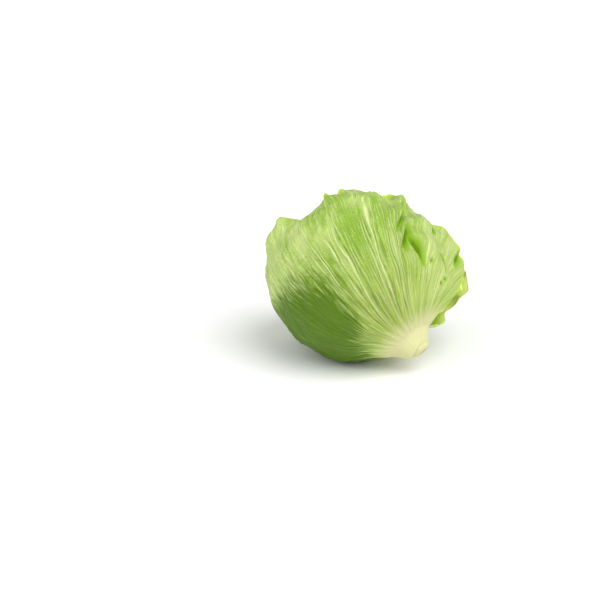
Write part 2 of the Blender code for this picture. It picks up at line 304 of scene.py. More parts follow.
def stem_finish():
    """Cream flesh, green in patches, and a cut face that is lightly browned in rings and at its rim."""
    finish, wire = new_finish("cut_stem_flesh")
    inward, down, place = number_of(wire, "inward"), number_of(wire, "down"), place_of(wire)
    spots = grain(wire, place, STEM_SPOT_SCALE, 4.0)
    clouds = grain(wire, place, STEM_CLOUD_SCALE)
    rings = wire.maths("SINE", inward * CUT_RINGS + clouds * 6.0) * 0.5 + 0.5
    browned_rim = smooth((1 - inward) * 5.0 - 3.6 + clouds * 1.4)
    browned = browned_rim + smooth(rings * 1.5 - 0.9 + spots * 0.4) * 0.3
    on_cut = smooth(inward * 40.0)
    cut = blend(CUT_CREAM, CUT_BROWN, browned * 0.3 + smooth(spots * 3.0 - 1.5) * 0.2)
    flesh = blend(CREAM, STEM_GREEN, smooth(clouds * 2.0 - 0.7) * 0.45 * fade(down, 0.75, 0.25))
    colour = blend(flesh, cut, on_cut)
    relief = spots + rings * on_cut * 0.3
    finish_surface(finish, colour, 0.5 + clouds * 0.2, relief, relief_depth=0.4 * MM, subsurface=0.15)
    return finish


stem = turned_piece("trimmed_stem", *stem_points(), stem_finish())
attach(stem, "root")
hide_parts("cut_stem")


# The heart. Young leaves fold over each other into a dense ball, pale because no light reaches them. Each
# grew from the stem inside the last, and their waved rims cross over the crown as low steps.
HEAD_SEMI_AXES = np.array([82.0, 79.0, 76.5]) * MM
HEAD_SIZE = HEAD_SEMI_AXES.mean()
SWELL_MIDDLE = (2.0, -80.0)
SWELL_START, SWELL_END = 6.0, 16.5
SWELL_SLANT = 1.0 * MM
# Bumps of the head as (tilt, turn, height in mm, width in degrees).
HEAD_LOBES = (
    (166.0, 38.0, -18.0, 18.0), (160.0, 30.0, -6.5, 11.0), (155.0, -6.0, 14.0, 8.0),
    (145.0, -27.0, 10.0, 9.0), (128.0, -46.0, 3.0, 8.0), (125.0, 104.0, -16.0, 8.0),
    (112.0, 112.0, 3.5, 5.0), (86.0, 122.5, -12.5, 5.0), (79.0, 124.0, 2.0, 5.0),
    (66.0, 130.0, 2.0, 9.0), (60.0, 99.0, -3.0, 5.0), (52.0, 120.0, 2.0, 14.0),
    (28.0, -105.0, -8.0, 12.0), (30.0, -68.0, -3.0, 6.0), (17.0, -62.0, 3.0, 5.0),
    (80.0, 205.0, -2.5, 18.0), (110.0, 250.0, 2.0, 20.0), (120.0, 170.0, 2.5, 18.0),
)
# The head's shallow waves as (height in mm, radians across the head's radius).
CRUMPLE = ((0.7, 11.0), (0.6, 15.0), (0.5, 20.0), (0.4, 26.0))
FULL_TURN = 6.3
HEAD_SEED = 5
PLEAT_DEPTH = 8.0 * MM
PLEAT_WALL, PLEAT_WALL_WIDTH = 56.0, 4.5
PLEAT_RISE, PLEAT_RISE_WIDTH = 65.0, 17.0
PLEAT_START, PLEAT_END, PLEAT_FADE = 60.0, 114.0, 18.0
PLEAT_LEAN, PLEAT_LEAN_START, PLEAT_LEAN_LENGTH = 8.0, 82.0, 24.0
FAN_ROOT, FAN_GROWTH, FAN_TILT, FAN_POWER = 0.73, 0.27, 59.0, 1.8
HEART_LAYER = 0.699
# Each folded leaf as (tilt of its middle, turn of its middle, width).
HEART_LEAVES = ((92, 300, 92), (98, 75, 96), (96, 190, 93), (104, 335, 88), (108, 120, 84))
HEART_STEP = 1.1 * MM
HEART_RIM = 1.6
RIM_BAND, RIM_BAND_WIDTH = 3, 5
HEART_SOCKET = 8.4 * MM
SOCKET_FLOOR = 0.86
SOCKET_DEPTH = 1.0 * MM
HEART_COLUMNS, HEART_ROWS = 220, 130
HEART_CLOUD_SCALE, HEART_SPECK_SCALE = 55.0, 260.0
HEART_PALE = (0.66, 0.72, 0.27)
HEART_YELLOW = (0.62, 0.66, 0.13)
HEART_WHITE = (0.76, 0.78, 0.46)


def degrees_between(way, centre):
    return np.degrees(np.arccos(np.clip(way @ centre, -1, 1)))


def head_radius(way):
    """An ellipsoid's radius along each unit vector, plus a bell-shaped bump at each lobe and shallow waves."""
    radius = 1 / np.sqrt(((way / HEAD_SEMI_AXES) ** 2).sum(-1))
    for tilt, turn, height, width in HEAD_LOBES:
        away = degrees_between(way, direction(np.array(tilt), np.array(turn)))
        radius = radius + height * MM * bell(away / width)
    random = np.random.default_rng(HEAD_SEED)
    for height, count in CRUMPLE:
        ripple = unit(random.normal(size=3))
        radius = radius + height * MM * np.sin(way @ ripple * count + random.uniform(0, FULL_TURN))
    return radius


def fan(tilt):
    """How far a vein has swung from the leaf's middle: bunched at the root, bending outwards to the tip."""
    return FAN_ROOT + FAN_GROWTH * (tilt / FAN_TILT) ** FAN_POWER


def pleat(tilt, turn):
    """The depth of the pleat: a steep wall along one vein, then a gentle rise, faded out at both ends."""
    lean = PLEAT_LEAN * rise(tilt, PLEAT_LEAN_START, PLEAT_LEAN_LENGTH)
    vein = ((turn + 180) % 360 - 180) / fan(tilt) - lean
    across = rise(vein, PLEAT_WALL, PLEAT_WALL_WIDTH) * fade(vein, PLEAT_RISE, PLEAT_RISE_WIDTH)
    ends = rise(tilt, PLEAT_START, PLEAT_FADE) * fade(tilt, PLEAT_END - PLEAT_FADE, PLEAT_FADE)
    return PLEAT_DEPTH * across * ends


def head_point(tilt, turn, layer, swell, lift):
    """A point of the head. Layer 1 is its outer face, swell pushes along the stem, lift along the radius."""
    way = direction(tilt, turn)
    off_middle = degrees_between(way, direction(*np.array(SWELL_MIDDLE)))
    bulb = fade(off_middle, SWELL_START, SWELL_END - SWELL_START)
    slant = SWELL_SLANT * np.cos(np.radians(turn - CUT_TURN))
    outward = layer * (head_radius(way) - pleat(tilt, turn)) + lift
    return HEAD_CENTRE + outward[..., None] * way + ((swell + slant) * bulb)[..., None] * STEM


def heart_points():
    """The heart's face steps up under each folded leaf's waved rim, and turns in round the stem as a socket.

    A folded leaf is a round patch about its own middle, whose width varies round it by three sines.
    """
    start = math.degrees(math.asin(HEART_SOCKET / (HEART_LAYER * HEAD_SIZE)))
    tilts = start + (180 - start) * np.linspace(0, 1, HEART_ROWS)
    tilt, turn = np.meshgrid(tilts, np.arange(HEART_COLUMNS) * 360 / HEART_COLUMNS, indexing="ij")
    way = direction(tilt, turn)
    lift = np.zeros_like(tilt)
    rim_near = np.zeros_like(tilt)
    for number, (middle_tilt, middle_turn, width) in enumerate(HEART_LEAVES):
        middle = direction(np.array(float(middle_tilt)), np.array(float(middle_turn)))
        round_leaf = np.radians(turn - middle_turn) * 3 + number
        rim = width + 4 * np.sin(round_leaf * 3) + 2 * np.sin(round_leaf * 7 + 1)
        past = rim + 0.7 * np.sin(round_leaf * 19) - degrees_between(way, middle)
        lift += HEART_STEP * smooth(past / HEART_RIM + 0.5)
        rim_near = np.maximum(rim_near * (past < 0), bell((past - RIM_BAND) / RIM_BAND_WIDTH) * (past > -1))
    face = head_point(tilt, turn, HEART_LAYER, 0.0, lift - HEART_STEP)
    mouth = face[0]
    axis = HEAD_CENTRE + ((mouth - HEAD_CENTRE) @ STEM)[:, None] * STEM
    bottom = HEAD_CENTRE + STEM * (STEM_TOP - SOCKET_DEPTH)
    floor_ring = bottom + (mouth - axis) * SOCKET_FLOOR
    socket = np.stack([np.broadcast_to(bottom, mouth.shape), floor_ring])
    points = np.concatenate([socket, face])
    numbers = {"tilt": tilt, "rim_near": rim_near}
    numbers = {name: np.concatenate([values[:1], values[:1], values]) for name, values in numbers.items()}
    return points, numbers


def heart_finish():
    """Waxy yellow-white leaves, whiter in fine specks and towards the stem, and yellower along each rim."""
    finish, wire = new_finish("folded_heart_flesh")
    tilt, rim_near, place = number_of(wire, "tilt"), number_of(wire, "rim_near"), place_of(wire)
    clouds = grain(wire, place, HEART_CLOUD_SCALE)
    specks = grain(wire, place, HEART_SPECK_SCALE, 4.0)
    colour = blend(HEART_PALE, HEART_YELLOW, smooth(clouds * 2.0 - 0.5))
    colour = blend(colour, HEART_WHITE, smooth(specks * 3.0 - 1.2) * 0.6)
    colour = blend(colour, HEART_WHITE, fade(tilt, 10.0, 50.0))
    colour = blend(colour, HEART_YELLOW, rim_near * 0.7)
    finish_surface(finish, colour, 0.38 + clouds * 0.15, specks, relief_depth=0.6 * MM, subsurface=0.2)
    return finish


heart = turned_piece("heart_of_young_leaves", *heart_points(), heart_finish())
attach(heart, "root")
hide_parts("folded_heart")


# The top leaf, the innermost of five loose wrapper leaves, clasps the heart. A wrapper leaf is one broad,
# crisp blade on a fleshy white heel; its veins fan out from the heel and fork, and its thin rim is frilled.
# A leaf's outline: its middle's turn, the tilt of its tip, its veins at the low and the high side, and how it
# falls back from the tip to each side, as (spread in degrees, power).
OUTLINES = {
    "front": dict(turn=0.0, reach=158.0, low=-150.0, high=165.0, fall=((90.0, 2.2), (100.0, 3.2))),
    "back": dict(turn=222.0, reach=152.0, low=-77.0, high=130.0, fall=((54.0, 2.2), (85.0, 2.2))),
    "right": dict(turn=145.0, reach=166.0, low=-110.0, high=110.0, fall=((80.0, 2.2), (80.0, 2.2))),
    "under": dict(turn=-80.0, reach=164.0, low=-110.0, high=110.0, fall=((80.0, 2.2), (80.0, 2.2))),
    "top": dict(turn=50.0, reach=162.0, low=-110.0, high=110.0, fall=((80.0, 2.2), (80.0, 2.2))),
}
FALL_POWER = 0.8
BLADE = 0.8 * MM
RIM_BLADE = 0.35 * MM
RIM_TAPER = 3 * MM
HEEL_FADE = 38.0
HEEL_ROUNDING = 6.0
HEEL_DROP = 0.9
WAIST, WAIST_START, WAIST_END = 0.14, 25.0, 60.0
RUFFLES, RUFFLE_HEIGHT, EDGE_HEIGHT = (0.08, 0.13, 0.2), 0.45, 0.7
SIDE_NICKS, SIDE_NICK = (31.0, 57.0, 93.0), 12
TIP_NICKS, TIP_NICK = (0.19, 0.41, 0.83), 0.13
RIM_REACH, SIDE_REACH = 17 * MM, 14 * MM
FRILL_REACH, SIDE_FRILL_REACH = 7 * MM, 6 * MM
CURL_REACH = 5 * MM
TIP_FRILL, SIDE_FRILL = (0.27, 0.46, 0.71), (0.3, 0.52, 0.8)
TIP_SWAY, SIDE_SWAY = (3, 0.05), (2, 0.07)
RIB, MIDRIB, MIDRIB_WIDTH = 0.5, 0.8, 8.0
# How veins wander, as (sway in degrees, radians a degree of vein, radians a degree of tilt).
WANDER = ((1.3, 0.05, 0.06), (1.1, 0.31, 0.03), (0.35, 0.83, -0.11), (0.15, 0.7, 0.31))
BLISTER = 0.3 * MM
ROOT_SIDE = 6 * MM
FINE_SEED = 100
# Where the parts of the relief start or end down the leaf, as (tilt, degrees of tilt that it takes).
SIDE_STARTS, SIDE_GROWS, SIDE_FRILL_STARTS = (22, 10), (39, 15), (25, 15)
RIBS_START, RIBS_END, VEINS_START, WANDER_STARTS = (17, 15), (30, 90), (14, 8), (8, 30)
BLISTERS_START, ROOT_SIDE_ENDS = (30, 20), (16, 12)
# A leaf's numbers, heights in mm: grid is its rows and columns, layer its share of the head's radius, swell and
# heel how far its heel bulges and how thick it is, root the tilt where it starts, and floor the lowest it lies.
# flare, waves, frill, curls, ribs and veins are its relief, ripples, scallop and jag wave its outline, and
# dense draws its columns together round the crumpled veins. The three inner leaves share most of them.
INNER = dict(grid=(110, 150), ripples=27, ribs=6, flare=((0.0, 40.0, 5.0),), waves=4.0, scallop=0.05,
             jag=0.008, veins=0.8, dense=0.0, curls=())
DENSE_VEIN, DENSE_WIDTH = 72.0, 42.0
UNDER_PAD = 1.5 * MM
UNDER_FADE = 7.0 * MM
# Each order of veins: how many round the stem, the tilt where the first and the last of them fork off, and
# the vein's half width and height in mm.
VEIN_ORDERS = (
    (24, 0.0, 0.0, 1.2, 0.8),
    (48, 12.0, 20.0, 1.0, 0.65),
    (96, 20.0, 36.0, 0.8, 0.45),
    (192, 36.0, 62.0, 0.55, 0.25),
    (384, 74.0, 112.0, 0.4, 0.15),
)
FORK_LENGTH, FORK_FADE = 16.0, 5.0
GOLDEN, SPREAD = 0.6180339, 0.7548777
STREAK_PLACES, FINE_STREAK_PLACES = (0.16, 0.045), (0.9, 0.07)
LEAF_CLOUD_SCALE, CELL_SCALE, MOTTLE_SCALE = 36.0, 320.0, 620.0
FACES_APART = 5.0
RIM_WIDTH, OUTSIDE_EDGE = 10.0, 3.0
# Where the colours start or end down the leaf, as (tilt, degrees of tilt), and across it, as (vein, degrees).
MOTTLE_STARTS, NET_STARTS, INSIDE_STARTS = (50.0, 25.0), (58.0, 26.0), (18.0, 15.0)
FURROWS_START, FURROWS_END, OLIVE_ENDS, CREAM_ENDS = (24.0, 16.0), (92.0, 24.0), (38.0, 54.0), (10.0, 17.0)
MOTTLE_WEAKENS, FURROWS_WEAKEN = (-10.0, 30.0), (56.0, 16.0)
OLIVE_SIDE, OLIVE_WEAKENS = (-30.0, 30.0), (40.0, 40.0)
LEAF_GREEN = (0.25, 0.40, 0.036)
BLOTCH_GREEN = (0.20, 0.37, 0.012)
VEIN_PALE = (0.56, 0.68, 0.22)
LINE_PALE = (0.74, 0.80, 0.42)
OLIVE_CREAM = (0.35, 0.39, 0.10)
RIM_GREEN = (0.42, 0.64, 0.01)
EDGE_PALE = (0.70, 0.80, 0.26)
# The green of painted shade, for the painted shadow over the front leaf's lower left and the cores of its
# folds.
PAINTED_SHADE_GREEN = (0.07, 0.155, 0.0002)
# The green of the painted shade in the furrows beside the veins.
FURROW_SHADE_GREEN = (0.09, 0.16, 0.01)
# The green of the painted shade in the dents of the folds.
CREASE_SHADE_GREEN = (0.21, 0.40, 0.001)


def outline(leaf, vein):
    """The tilt at which the leaf ends along a vein: its reach, less to each side by a power of the vein."""
    (low_spread, low_power), (high_spread, high_power) = leaf["fall"]
    low_fall = (np.maximum(-vein, 0) / low_spread) ** low_power
    high_fall = (np.maximum(vein, 0) / high_spread) ** high_power
    return leaf["reach"] / (1 + low_fall + high_fall) ** FALL_POWER


def waist(tilt):
    """How much the leaf's sides draw in towards its narrower root."""
    return WAIST * fade(tilt, WAIST_START, WAIST_END - WAIST_START)


def covered(tilt, turn, outer_leaves):
    """1 under any outer leaf and a little past its rim, falling to 0 clear of it."""
    under = np.zeros_like(tilt)
    for leaf in outer_leaves:
        middle = (leaf["high"] + leaf["low"]) / 2 * fan(tilt)
        vein = ((turn - leaf["turn"] - middle + 180) % 360 - 180 + middle) / fan(tilt)
        side = np.maximum(vein - leaf["high"] * (1 - waist(tilt)), leaf["low"] * (1 - waist(tilt)) - vein)
        past_side = side * fan(tilt) * np.sin(np.radians(tilt))
        past = np.radians(np.maximum(past_side, tilt - outline(leaf, vein))) * HEAD_SIZE
        under = np.maximum(under, fade(past, UNDER_PAD, UNDER_FADE))
    return under


def vein_order(vein, tilt, girth, order):
    """How strongly one order of veins and the painted shade in the furrows beside them show, 0 to 1, as a bell
    across each.

    The circle of vein angles is cut into cells with one vein in each. It leaves its parent, at the cell's
    edge, at its own tilt and swings to the cell's middle. girth is how many mm a degree of vein angle spans.
    """
    count, first, last, width = VEIN_ORDERS[order][:4]
    cell_place = vein * (count / 360)
    cell = floor(cell_place)
    if order == 0:
        middle, shows = 0.5, 1.0
    else:
        odd = cell - floor(cell * 0.5) * 2
        luck = cell * GOLDEN + order * 0.37
        start = (luck - floor(luck)) * (last - first) + first
        swing = rise(tilt, start, FORK_LENGTH) * 0.5
        middle = 1 - odd + (odd * 2 - 1) * swing
        shows = rise(tilt, start, FORK_FADE)
    across = (cell_place - cell - middle) * girth * (360 / count / width)
    spread = cell * SPREAD + order * 0.21
    shows = shows * (0.45 + 0.55 * (spread - floor(spread)))
    return bell(across) * shows, bell(across * 1.3 - 2.7) * shows


def vein_at(leaf, across):
    """The vein at a place across the leaf: a straight line plus a cube, so columns thin out to the sides."""
    middle, half = (leaf["high"] + leaf["low"]) / 2, (leaf["high"] - leaf["low"]) / 2
    return middle + half * (0.7 * across + 0.3 * across**3)


def leaf_grid(leaf):
    """The grid's places along and across the leaf, closer together at its tip and round the crumpled veins."""
    rows, columns = leaf["grid"]
    steps = np.linspace(-1, 1, 2001)
    veins = vein_at(leaf, steps)
    density = 1 + leaf["dense"] * bell((veins - DENSE_VEIN) / DENSE_WIDTH)
    filled = np.cumsum(np.gradient(veins) * density)
    across = np.interp(np.linspace(filled[0], filled[-1], columns), filled, steps)
    along = np.linspace(0, 1, rows)
    return np.meshgrid(along * (1.35 - 0.35 * along), across, indexing="ij")


def frill(place, counts, sway, sway_count, random):
    """One sine for each count, added up. They sway together along place and start where random puts them."""
    swayed = sway * np.sin(place * sway_count)
    return sum(np.sin(place * count + swayed + random.uniform(0, FULL_TURN)) for count in counts)


def bumps(places, vein):
    """A bell at each (vein, width, height in mm), added up."""
    return sum(height * MM * bell((vein - centre) / width) for centre, width, height in places)


def leaf_points(leaf, over, more_relief):
    """The leaf's outer and inner faces. across runs -1 to 1 between its sides, along 0 to 1 from root to tip.

    The head's own form gives the large shape. The rim is lifted by flare and waves, by frills that are sines
    along it, and nowhere under a leaf that lies over it. Ribs, vein ridges and small blisters rise from the
    outer face, and the inner face lies under it by the blade's thickness, which tapers to the rim.
    """
    along, across = leaf_grid(leaf)
    vein = vein_at(leaf, across)
    random = np.random.default_rng(leaf["seed"])
    scallop, wave = np.zeros_like(across), np.zeros_like(across)
    for share in RUFFLES:
        periods = leaf["ripples"] * share
        wave += np.sin(np.pi * periods * across + random.uniform(0, FULL_TURN)) * RUFFLES[0] / share
        scallop += np.sin(np.pi * periods * across + random.uniform(0, FULL_TURN)) * RUFFLES[0] / share
    bays = np.sin(along * 17 + random.uniform(0, FULL_TURN)) * np.abs(across) ** 5
    vein = vein * (1 + leaf["scallop"] * bays)
    fine = np.random.default_rng(leaf["seed"] + FINE_SEED)
    jag = sum(np.sin(along * count + fine.uniform(0, FULL_TURN)) * SIDE_NICK / count for count in SIDE_NICKS)
    vein = vein * (1 + leaf["jag"] * jag * np.abs(across) ** 9)
    nick = sum(np.sin(vein * count + fine.uniform(0, FULL_TURN)) * TIP_NICK / count for count in TIP_NICKS)
    end = outline(leaf, vein) * (1 + leaf["scallop"] * scallop + leaf["jag"] * nick)
    tilt = leaf["root"] + (end - leaf["root"]) * along
    bound = np.where(vein < 0, -leaf["low"], leaf["high"])
    turn = leaf["turn"] + vein * (1 - waist(tilt) * (vein / bound) ** 2) * fan(tilt)

    to_tip = np.radians(end - tilt) * HEAD_SIZE
    side_angle = (leaf["high"] - leaf["low"]) * (1 - np.abs(across))
    to_side = np.radians(side_angle) * HEAD_SIZE * np.sin(np.radians(tilt))
    rim = bell(to_tip / RIM_REACH)
    side = bell(to_side / SIDE_REACH) * rise(tilt, *SIDE_STARTS) * (0.5 + 0.5 * rise(tilt, *SIDE_GROWS))
    edge = np.maximum(rim, side)
    ruffle = wave * rim + np.sin(np.radians(tilt) * 14 + random.uniform(0, FULL_TURN)) * side
    lift = leaf["waves"] * MM * (ruffle * RUFFLE_HEIGHT + edge * EDGE_HEIGHT)
    lift = lift + bumps(leaf["flare"], vein) * edge
    tip_frill = frill(vein, TIP_FRILL, *TIP_SWAY, fine)
    side_frill = frill(tilt, SIDE_FRILL, *SIDE_SWAY, fine)
    near_tip = bell(to_tip / FRILL_REACH)
    near_side = bell(to_side / SIDE_FRILL_REACH) * rise(tilt, *SIDE_FRILL_STARTS) * (1 - near_tip)
    lift = lift + leaf["frill"] * MM * (tip_frill * near_tip + side_frill * near_side)
    lift = lift + bumps(leaf["curls"], vein) * bell(to_tip / CURL_REACH)
    lift = lift * (1 - covered(tilt, turn, over))

    ridge = RIB * np.cos(np.pi * leaf["ribs"] * across) + MIDRIB * bell(vein / MIDRIB_WIDTH)
    lift = lift + ridge * MM * rise(tilt, *RIBS_START) * fade(tilt, *RIBS_END)
    wander = sum(sway * np.sin(vein * sideways + tilt * down) for sway, sideways, down in WANDER)
    drawn_vein = vein + wander * rise(tilt, *WANDER_STARTS)
    girth = np.radians(fan(tilt) * np.sin(np.radians(tilt))) * HEAD_SIZE / MM
    raised = [vein_order(drawn_vein, tilt, girth, order)[0] * VEIN_ORDERS[order][4] for order in range(3)]
    lift = lift + MM * leaf["veins"] * np.maximum.reduce(raised) * rise(tilt, *VEINS_START)
    blister = np.sin(vein * girth * 0.5 + 2 * np.sin(tilt * 0.13))
    blister = blister * np.sin(tilt * 0.75 + 2 * np.sin(vein * 0.11))
    lift = lift + BLISTER * blister * rise(tilt, *BLISTERS_START)
    round_end = np.clip((tilt - leaf["root"]) / HEEL_ROUNDING, 0, 1)
    lift = lift - leaf["heel"] * MM * HEEL_DROP * (1 - np.sqrt(1 - (1 - round_end) ** 2))
    extra, tints = more_relief(tilt, (turn + 180) % 360 - 180, vein)
    lift = lift + extra

    outer = head_point(tilt, turn, leaf["layer"], leaf["swell"] * MM, lift)
    outer[..., 2] = np.maximum(outer[..., 2], leaf["floor"] * MM)
    normal = np.cross(np.gradient(outer, axis=1), np.gradient(outer, axis=0))
    normal /= np.linalg.norm(normal, axis=-1, keepdims=True) + 1e-12
    heel = fade(tilt, leaf["root"], HEEL_FADE)
    to_edge = np.minimum(to_tip, to_side + ROOT_SIDE * fade(tilt, *ROOT_SIDE_ENDS))
    thinner = (BLADE - RIM_BLADE) * bell(to_edge / RIM_TAPER) * (1 - heel)
    thickness = BLADE + (leaf["heel"] * MM - BLADE) * heel - thinner
    inner = outer - normal * thickness[..., None]
    numbers = {"vein": drawn_vein, "tilt": tilt, "girth": girth, "rim": to_edge / MM, **tints}
    numbers = {name: np.stack([values, values]) for name, values in numbers.items()}
    numbers["inside"] = np.stack([np.zeros_like(tilt), np.ones_like(tilt)])
    return np.stack([outer, inner]), numbers


def blade_quads(rows, columns):
    """The faces of a closed blade: its outer grid, its inner grid turned over, and a strip round the edge."""
    place = np.arange(rows * columns).reshape(rows, columns)
    outer = np.stack([place[:-1, :-1], place[:-1, 1:], place[1:, 1:], place[1:, :-1]], -1).reshape(-1, 4)
    inner = outer[:, ::-1] + rows * columns
    loop = np.concatenate([place[0, :-1], place[:-1, -1], place[-1, :0:-1], place[:0:-1, 0]])
    after = np.roll(loop, -1)
    strip = np.stack([after, loop, loop + rows * columns, after + rows * columns], -1)
    return np.concatenate([outer, inner, strip])


def leaf_finish(name, pale, edge):
    """A crisp leaf with green blotches drawn out along pale forked veins, a cream heel and a bright rim.

    pale, 0 to 1, is how blanched the leaf is, and edge is how many mm wide its pale rim is on the inside. The
    mesh's own numbers paint shade into the colour, in the dents of the folds and as a shadow over the front
    leaf's lower left, and make some bands along the veins paler, the two broadest of them painted light on its
    lit sides. The thin dark lines beside the veins are painted shade in their furrows.
    """
    finish, wire = new_finish(name)
    vein, tilt, girth, rim = (number_of(wire, key) for key in ("vein", "tilt", "girth", "rim"))
    crease_shade, tissue_band_and_light, painted_shadow, inside = (number_of(wire, key) for key in ("crease_shade", "tissue_band_and_light", "painted_shadow", "inside"))
    place = place_of(wire)
    drawn, fine_drawn = (
        wire.node("ShaderNodeCombineXYZ", {}, {0: vein * sideways, 1: tilt * down, 2: inside * FACES_APART})
        for sideways, down in (STREAK_PLACES, FINE_STREAK_PLACES)
    )
    streak = grain(wire, drawn, 1.0, 4.0, 0.6)
    fine_streak = grain(wire, fine_drawn, 1.0, 3.0, 0.6)
    clouds = grain(wire, place, LEAF_CLOUD_SCALE, 5.0, 0.62)
    cell = {"Vector": place, "Scale": CELL_SCALE}
    net = 1 - smooth(wire.node("ShaderNodeTexVoronoi", {"feature": "DISTANCE_TO_EDGE"}, cell) * 9.0)
    mottle = smooth(grain(wire, place, MOTTLE_SCALE, 3.0, 0.7) * 6.0 - 2.9) * rise(tilt, *MOTTLE_STARTS)

    lines, furrow_shadows = vein_order(vein, tilt, girth, 0)
    for order in (1, 2, 3, 4):
        line, furrow_shadow = vein_order(vein, tilt, girth, order)
        lines = most(lines, line * (1.0 - 0.13 * order))
        furrow_shadows = most(furrow_shadows, furrow_shadow * (1.0 - 0.08 * order))
    # The painted shadow over the front leaf's lower left, its edge streaked along the veins.
    painted_shadow = smooth(painted_shadow * 1.6 - fine_streak * 2.0 - streak + 1.25)
    clear = smooth(clouds * 2.6 + streak * 1.6 - 1.75 + tissue_band_and_light * 0.5)
    colour = blend(BLOTCH_GREEN, LEAF_GREEN, clear)
    paler = smooth(streak * 2.2 - clouds * 1.4 + tissue_band_and_light * 0.8 - 0.1 + pale * 0.5)
    colour = blend(colour, VEIN_PALE, paler * 0.45)
    speckled = net * (rise(tilt, *NET_STARTS) * 0.2 + 0.05) + smooth(fine_streak * 4.5 - 2.3) * 0.2
    colour = blend(colour, VEIN_PALE, speckled)
    colour = blend(colour, LINE_PALE, mottle * clear * (0.65 - rise(vein, *MOTTLE_WEAKENS) * 0.35))
    colour = blend(colour, PAINTED_SHADE_GREEN, painted_shadow * 0.96)
    olive = fade(tilt, *OLIVE_ENDS) * rise(vein, *OLIVE_SIDE) * (1 - rise(vein, *OLIVE_WEAKENS) * 0.4)
    colour = blend(colour, OLIVE_CREAM, olive * (0.85 - painted_shadow * 0.8) * smooth(fine_streak * 4.0 - 1.3))
    drawn_lines = lines * smooth(fine_streak * 3.0 - 0.9) * (0.75 + tissue_band_and_light * 0.3)
    colour = blend(colour, LINE_PALE, drawn_lines * (1 - painted_shadow * 0.85) * (1 - olive * 0.35))
    # Painted shade in the furrows beside the veins, as thin dark lines.
    furrow_shadows = furrow_shadows * smooth(fine_streak * 4.0 - 1.3) * rise(tilt, *FURROWS_START) * fade(tilt, *FURROWS_END)
    furrow_shadows = furrow_shadows * (1 - rise(vein, *FURROWS_WEAKEN) * 0.75) * (1 - painted_shadow * 0.5)
    colour = blend(colour, FURROW_SHADE_GREEN, furrow_shadows)
    colour = blend(colour, RIM_GREEN, fade(rim, 0.0, RIM_WIDTH) * 0.8)
    colour = blend(colour, RIM_GREEN, inside * 0.8 * rise(tilt, *INSIDE_STARTS))
    # Painted shade in the dents of the folds, darkest at their cores.
    colour = blend(colour, CREASE_SHADE_GREEN, smooth(crease_shade * 1.6) * 0.9)
    colour = blend(colour, PAINTED_SHADE_GREEN, smooth(crease_shade * 2.6 - 1.4) * 0.75)
    colour = blend(colour, EDGE_PALE, fade(rim / most(inside * edge, OUTSIDE_EDGE), 0.4, 0.6) * 0.85)
    colour = blend(colour, CREAM, fade(tilt - fine_streak * 12.0, *CREAM_ENDS))
    roughness = 0.5 + streak * 0.12 - lines * 0.06
    relief = lines * 0.5 + fine_streak * 0.2 + net * 0.08 + clouds * 0.25
    finish_surface(finish, colour, roughness, relief, relief_depth=0.6 * MM, subsurface=0.07)
    return finish


def no_more_relief(tilt, turn, vein):
    """No lift of its own, no painted shade in folds or painted shadow on one side, and no paler bands."""
    none = np.zeros_like(tilt)
    return none, {"crease_shade": none, "tissue_band_and_light": none, "painted_shadow": none}


def wrapper_leaf(name, leaf, over, pale, edge=OUTSIDE_EDGE, more_relief=no_more_relief):
    """One closed blade with its finish. over names the leaves that lie over it."""
    points, numbers = leaf_points(leaf, [OUTLINES[key] for key in over], more_relief)
    finish = leaf_finish(name + "_flesh", pale, edge)
    return new_piece(name, points, blade_quads(*leaf["grid"]), numbers, finish)


TOP = dict(OUTLINES["top"], **INNER, layer=0.788, swell=10.0, heel=1.6, root=12.1, frill=0.5,
           seed=47, floor=8.0)
top_leaf = wrapper_leaf("blanched_top_leaf", TOP, over=("front", "back", "right", "under"), pale=0.6)
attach(top_leaf, "root")
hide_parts("wrapper_leaf_top")


# The under leaf, next outwards. It grew round the side that the head now lies on, and clasps the top leaf.
# Like the others it is one crisp blade on a fleshy heel that grows from the stem.
UNDER = dict(OUTLINES["under"], **INNER, layer=0.828, swell=11.0, heel=1.8, root=11.5, frill=0.5,
             seed=31, floor=6.0)
under_leaf = wrapper_leaf("blanched_under_leaf", UNDER, over=("front", "back", "right"), pale=0.5)
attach(under_leaf, "root")
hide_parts("wrapper_leaf_under")


# The right leaf, the third. It covers the head's far right, mostly under the back and front leaves, with its
# frilled tip free at the crown.
RIGHT = dict(OUTLINES["right"], **INNER, layer=0.872, swell=12.0, heel=2.2, root=10.9, frill=0.6,
             seed=23, floor=4.0)
right_leaf = wrapper_leaf("right_leaf", RIGHT, over=("front", "back"), pale=0.3)
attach(right_leaf, "root")
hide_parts("wrapper_leaf_right")


# The back leaf, the second from outside. It covers the head's far side, and its near edge bends out past the
# front leaf's at the right, where its bright inner face shows as a strip.
BACK = dict(OUTLINES["back"], grid=(150, 210), layer=0.93, swell=13.0, heel=2.8, root=10.3, ripples=42,
            flare=((-77.0, 20.0, 20.0), (-40.0, 30.0, 6.0), (0.0, 30.0, 8.0), (40.0, 30.0, 6.0)),
            ribs=9, waves=4.0, scallop=0.05, jag=0.008, frill=0.8, veins=1.0, dense=0.0, curls=(),
            seed=11, floor=2.0)
back_leaf = wrapper_leaf("back_leaf", BACK, over=("front",), pale=0.1, edge=11.0)
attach(back_leaf, "root")
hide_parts("wrapper_leaf_back")


# The front leaf, the outermost, wraps almost the whole head. Its veins fan out from the swollen heel, it is
# pleated beside the head's top right and crumpled round the pleat, and its rim is frilled.
CRUMPLED = 1.3
# The waves of the crumpled side as (height in mm, radians of the wave for each radian of the head).
CRUMPLED_WAVES = ((0.9, 5.3), (0.9, 7.1), (0.8, 10.3), (0.6, 14.9), (0.4, 21.0))
CRUMPLED_SEED = 71
CRUMPLED_BEND = 1.2
CRUMPLED_STARTS, CRUMPLED_ENDS = (30, 20), (118, 20)
CRUMPLED_LEFT, CRUMPLED_RIGHT = (62, 22), (150, 25)
